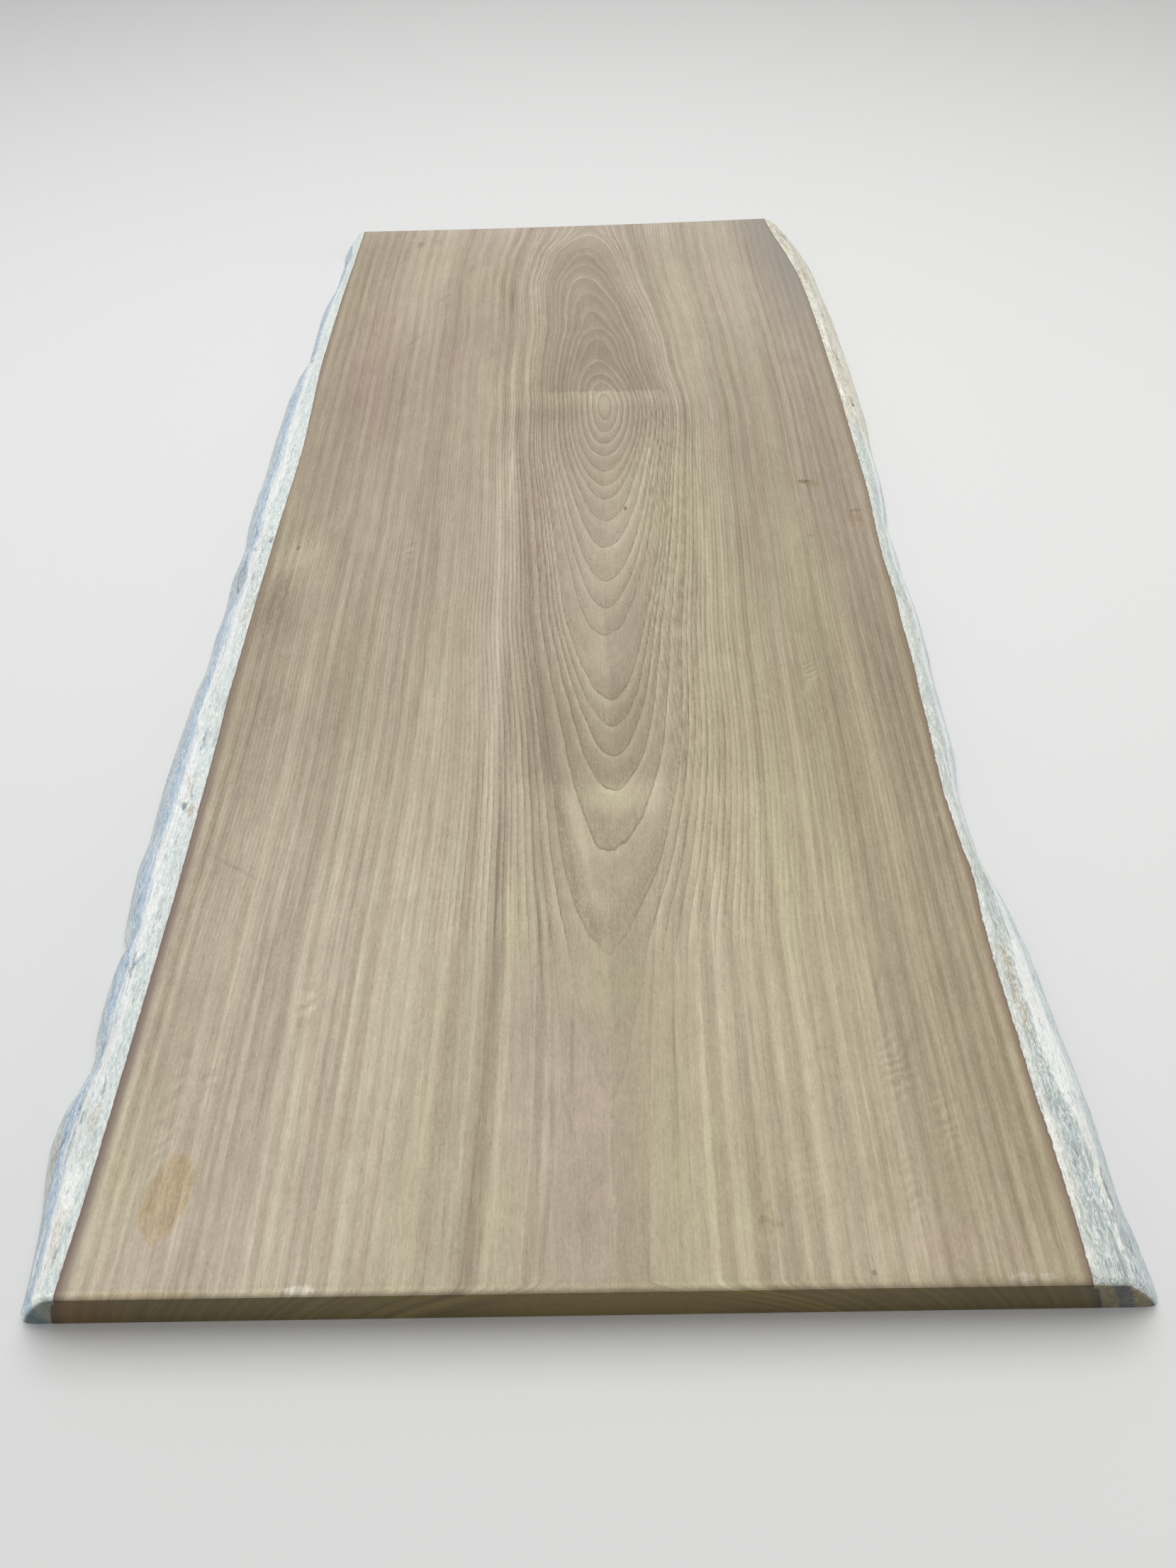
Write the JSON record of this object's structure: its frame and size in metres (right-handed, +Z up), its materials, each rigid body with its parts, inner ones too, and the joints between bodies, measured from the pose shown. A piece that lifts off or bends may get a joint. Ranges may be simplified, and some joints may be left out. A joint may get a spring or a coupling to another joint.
{
  "type": "iroko plank",
  "caption": "Thick live-edge iroko plank: a flat sawn face with pale natural waney sides and softly rounded square-cut ends, ready to become a table top or bench.",
  "frame": {"origin": "middle of the plank's box, on the flat underside", "axes": "+Y along the grain from the near sawn end to the far one, +X across to the right waney edge, +Z up out of the planed top face"},
  "size_m": [1.019, 2.2072, 0.062],
  "materials": {
    "iroko": "planed bare wood: taupe-beige heartwood with darker growth lines, whitish sapwood edges, satin sheen"
  },
  "bodies": {
    "root": {"plank": "iroko"}
  },
  "joints": []
}
